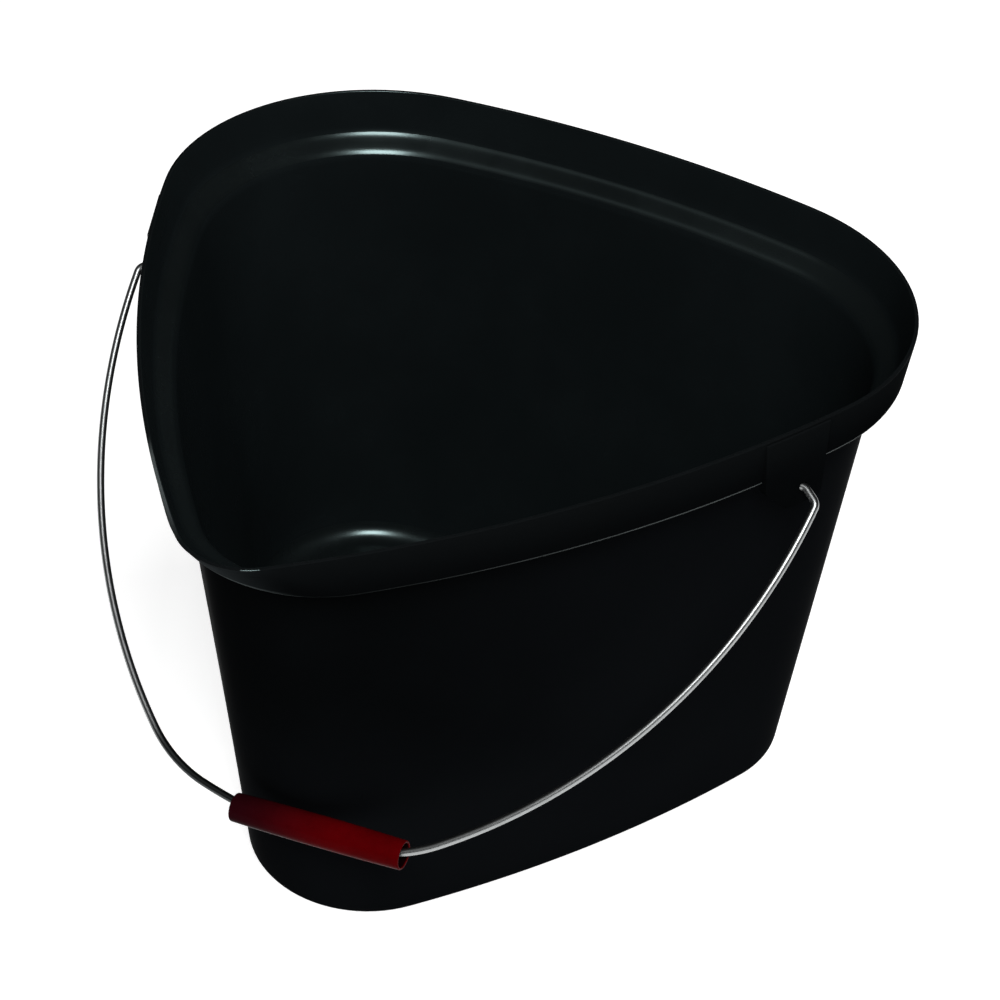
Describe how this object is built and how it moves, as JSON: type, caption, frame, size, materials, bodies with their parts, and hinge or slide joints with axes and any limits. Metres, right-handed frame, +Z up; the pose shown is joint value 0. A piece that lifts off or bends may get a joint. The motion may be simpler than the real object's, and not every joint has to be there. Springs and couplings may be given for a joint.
{
  "type": "builders bucket",
  "caption": "Rounded triangular moulded bucket with a stepped collar, a flared pouring corner and side ears that hold a swinging wire bail with a loose tube grip.",
  "frame": {"origin": "on the floor, under the middle of the rim's length and width", "axes": "+Z up; +X along the bail's hinge line, towards the side that the grip has slid to; -Y towards the pouring corner"},
  "size_m": [0.36, 0.3705, 0.248],
  "materials": {
    "bucket_plastic": "satin gloss, black moulded polypropylene",
    "bail_steel": "bright zinc-plated drawn wire",
    "grip_plastic": "glossy dark red extruded tube"
  },
  "bodies": {
    "bucket": {"bucket_body": "bucket_plastic"},
    "bail": {"bail_wire": "bail_steel"},
    "grip": {"grip_tube": "grip_plastic"}
  },
  "joints": [
    {"name": "bail_swing", "type": "hinge", "parent": "bucket", "child": "bail", "pos_m": [0, 0.0177, 0.2162], "axis": [-1, 0, 0], "range_deg": [0, 145]},
    {"name": "grip_spin", "type": "hinge", "parent": "bail", "child": "grip", "pos_m": [0.0186, -0.13641, 0.0709], "axis": [0.9934, 0.0843, 0.0781], "continuous": true}
  ]
}
